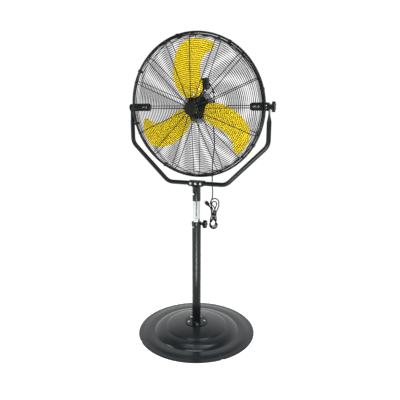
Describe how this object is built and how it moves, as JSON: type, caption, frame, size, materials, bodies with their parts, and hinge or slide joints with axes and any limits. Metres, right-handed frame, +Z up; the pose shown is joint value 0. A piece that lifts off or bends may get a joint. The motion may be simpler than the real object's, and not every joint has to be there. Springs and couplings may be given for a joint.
{
  "type": "pedestal fan",
  "caption": "Tall pedestal fan: bladed rotor in a round wire cage that tilts in a bent-tube yoke, on a telescopic mast with a round weighted base.",
  "frame": {"origin": "on the floor, on the pole axis, at the middle of the base's underside", "axes": "+Z up along the pole; the fan blows towards -Y; +X is on the right of someone who faces the fan"},
  "size_m": [0.877, 0.7238, 1.7752],
  "materials": {
    "black_enamel": "gloss",
    "black_powder": "satin",
    "mast_chrome": "polished",
    "zinc": "bright",
    "guard_wire": "gloss",
    "blade_yellow": "gloss",
    "cast_ballast": "rough",
    "rubber": "matte",
    "black_plastic": "matte",
    "steel_lamination": "dull",
    "copper_winding": "satin",
    "capacitor_case": "gloss",
    "cord_sheath": "satin"
  },
  "bodies": {
    "base": {"base_cover": "black_enamel", "base_ballast": "cast_ballast", "floor_pads": "rubber", "pole_flange": "black_enamel", "flange_fixings": "zinc", "outer_pole": "black_powder", "pole_bush": "black_plastic", "pole_collar": "black_powder", "collar_screw": "zinc"},
    "clamp_knob": {"clamp_knob": "black_plastic"},
    "mast": {"mast_tube": "mast_chrome", "mast_bushes": "black_plastic"},
    "yoke": {"yoke_tube": "black_powder", "yoke_saddle": "black_powder", "saddle_fixings": "zinc", "yoke_sleeve": "black_powder", "sleeve_bolt": "zinc", "cord_lead": "cord_sheath", "cord_hank": "cord_sheath", "cord_tie": "black_plastic", "cord_plug": "black_plastic"},
    "head": {"front_hoop": "guard_wire", "front_inner_rings": "guard_wire", "front_outer_rings": "guard_wire", "front_spokes": "guard_wire", "rear_hoop": "guard_wire", "rear_inner_rings": "guard_wire", "rear_outer_rings": "guard_wire", "rear_spokes": "guard_wire", "front_cap": "black_plastic", "cap_plate": "zinc", "hoop_clips": "zinc", "side_brackets": "black_powder", "bracket_fixings": "zinc", "pivot_fixings": "zinc", "pivot_washers": "black_plastic", "motor_front_shell": "black_powder", "motor_rear_shell": "black_powder", "motor_mount_ring": "zinc", "motor_fixings": "zinc", "stator_core": "steel_lamination", "stator_windings": "copper_winding", "shaft_bearings": "zinc", "box_bracket": "black_powder", "switch_box": "black_plastic", "switch_box_lid": "black_plastic", "box_screws": "zinc", "rotary_switch": "black_plastic", "capacitor": "capacitor_case", "cord_gland": "black_plastic"},
    "tilt_knob": {"tilt_knob": "black_plastic"},
    "rotor": {"rotor_shaft": "zinc", "rotor_core": "steel_lamination", "blade_spider": "black_powder", "blade_1": "blade_yellow", "blade_2": "blade_yellow", "blade_3": "blade_yellow", "rotor_fixings": "zinc"},
    "speed_knob": {"speed_knob": "black_plastic"}
  },
  "joints": [
    {"name": "clamp_knob_turn", "type": "hinge", "parent": "base", "child": "clamp_knob", "pos_m": [0.05, 0, 0.698], "axis": [1, 0, 0], "range_deg": [0, 360]},
    {"name": "mast_slide", "type": "slide", "parent": "base", "child": "mast", "axis": [0, 0, 1], "range_m": [-0.12, 0.2]},
    {"name": "yoke_swivel", "type": "hinge", "parent": "mast", "child": "yoke", "pos_m": [0, 0, 0.88], "axis": [0, 0, 1], "range_deg": [-180, 180]},
    {"name": "head_tilt", "type": "hinge", "parent": "yoke", "child": "head", "pos_m": [0, 0, 1.378], "axis": [1, 0, 0], "range_deg": [-30, 7]},
    {"name": "tilt_knob_turn", "type": "hinge", "parent": "head", "child": "tilt_knob", "pos_m": [0.43, 0, 1.378], "axis": [1, 0, 0], "range_deg": [0, 360]},
    {"name": "blade_spin", "type": "hinge", "parent": "head", "child": "rotor", "pos_m": [0, 0, 1.378], "axis": [0, 0.9962, 0.0872], "continuous": true},
    {"name": "speed_knob_turn", "type": "hinge", "parent": "head", "child": "speed_knob", "pos_m": [-0.0085, 0.1235, 1.51529], "axis": [0, 0.9962, 0.0872], "range_deg": [-135, 0]}
  ]
}
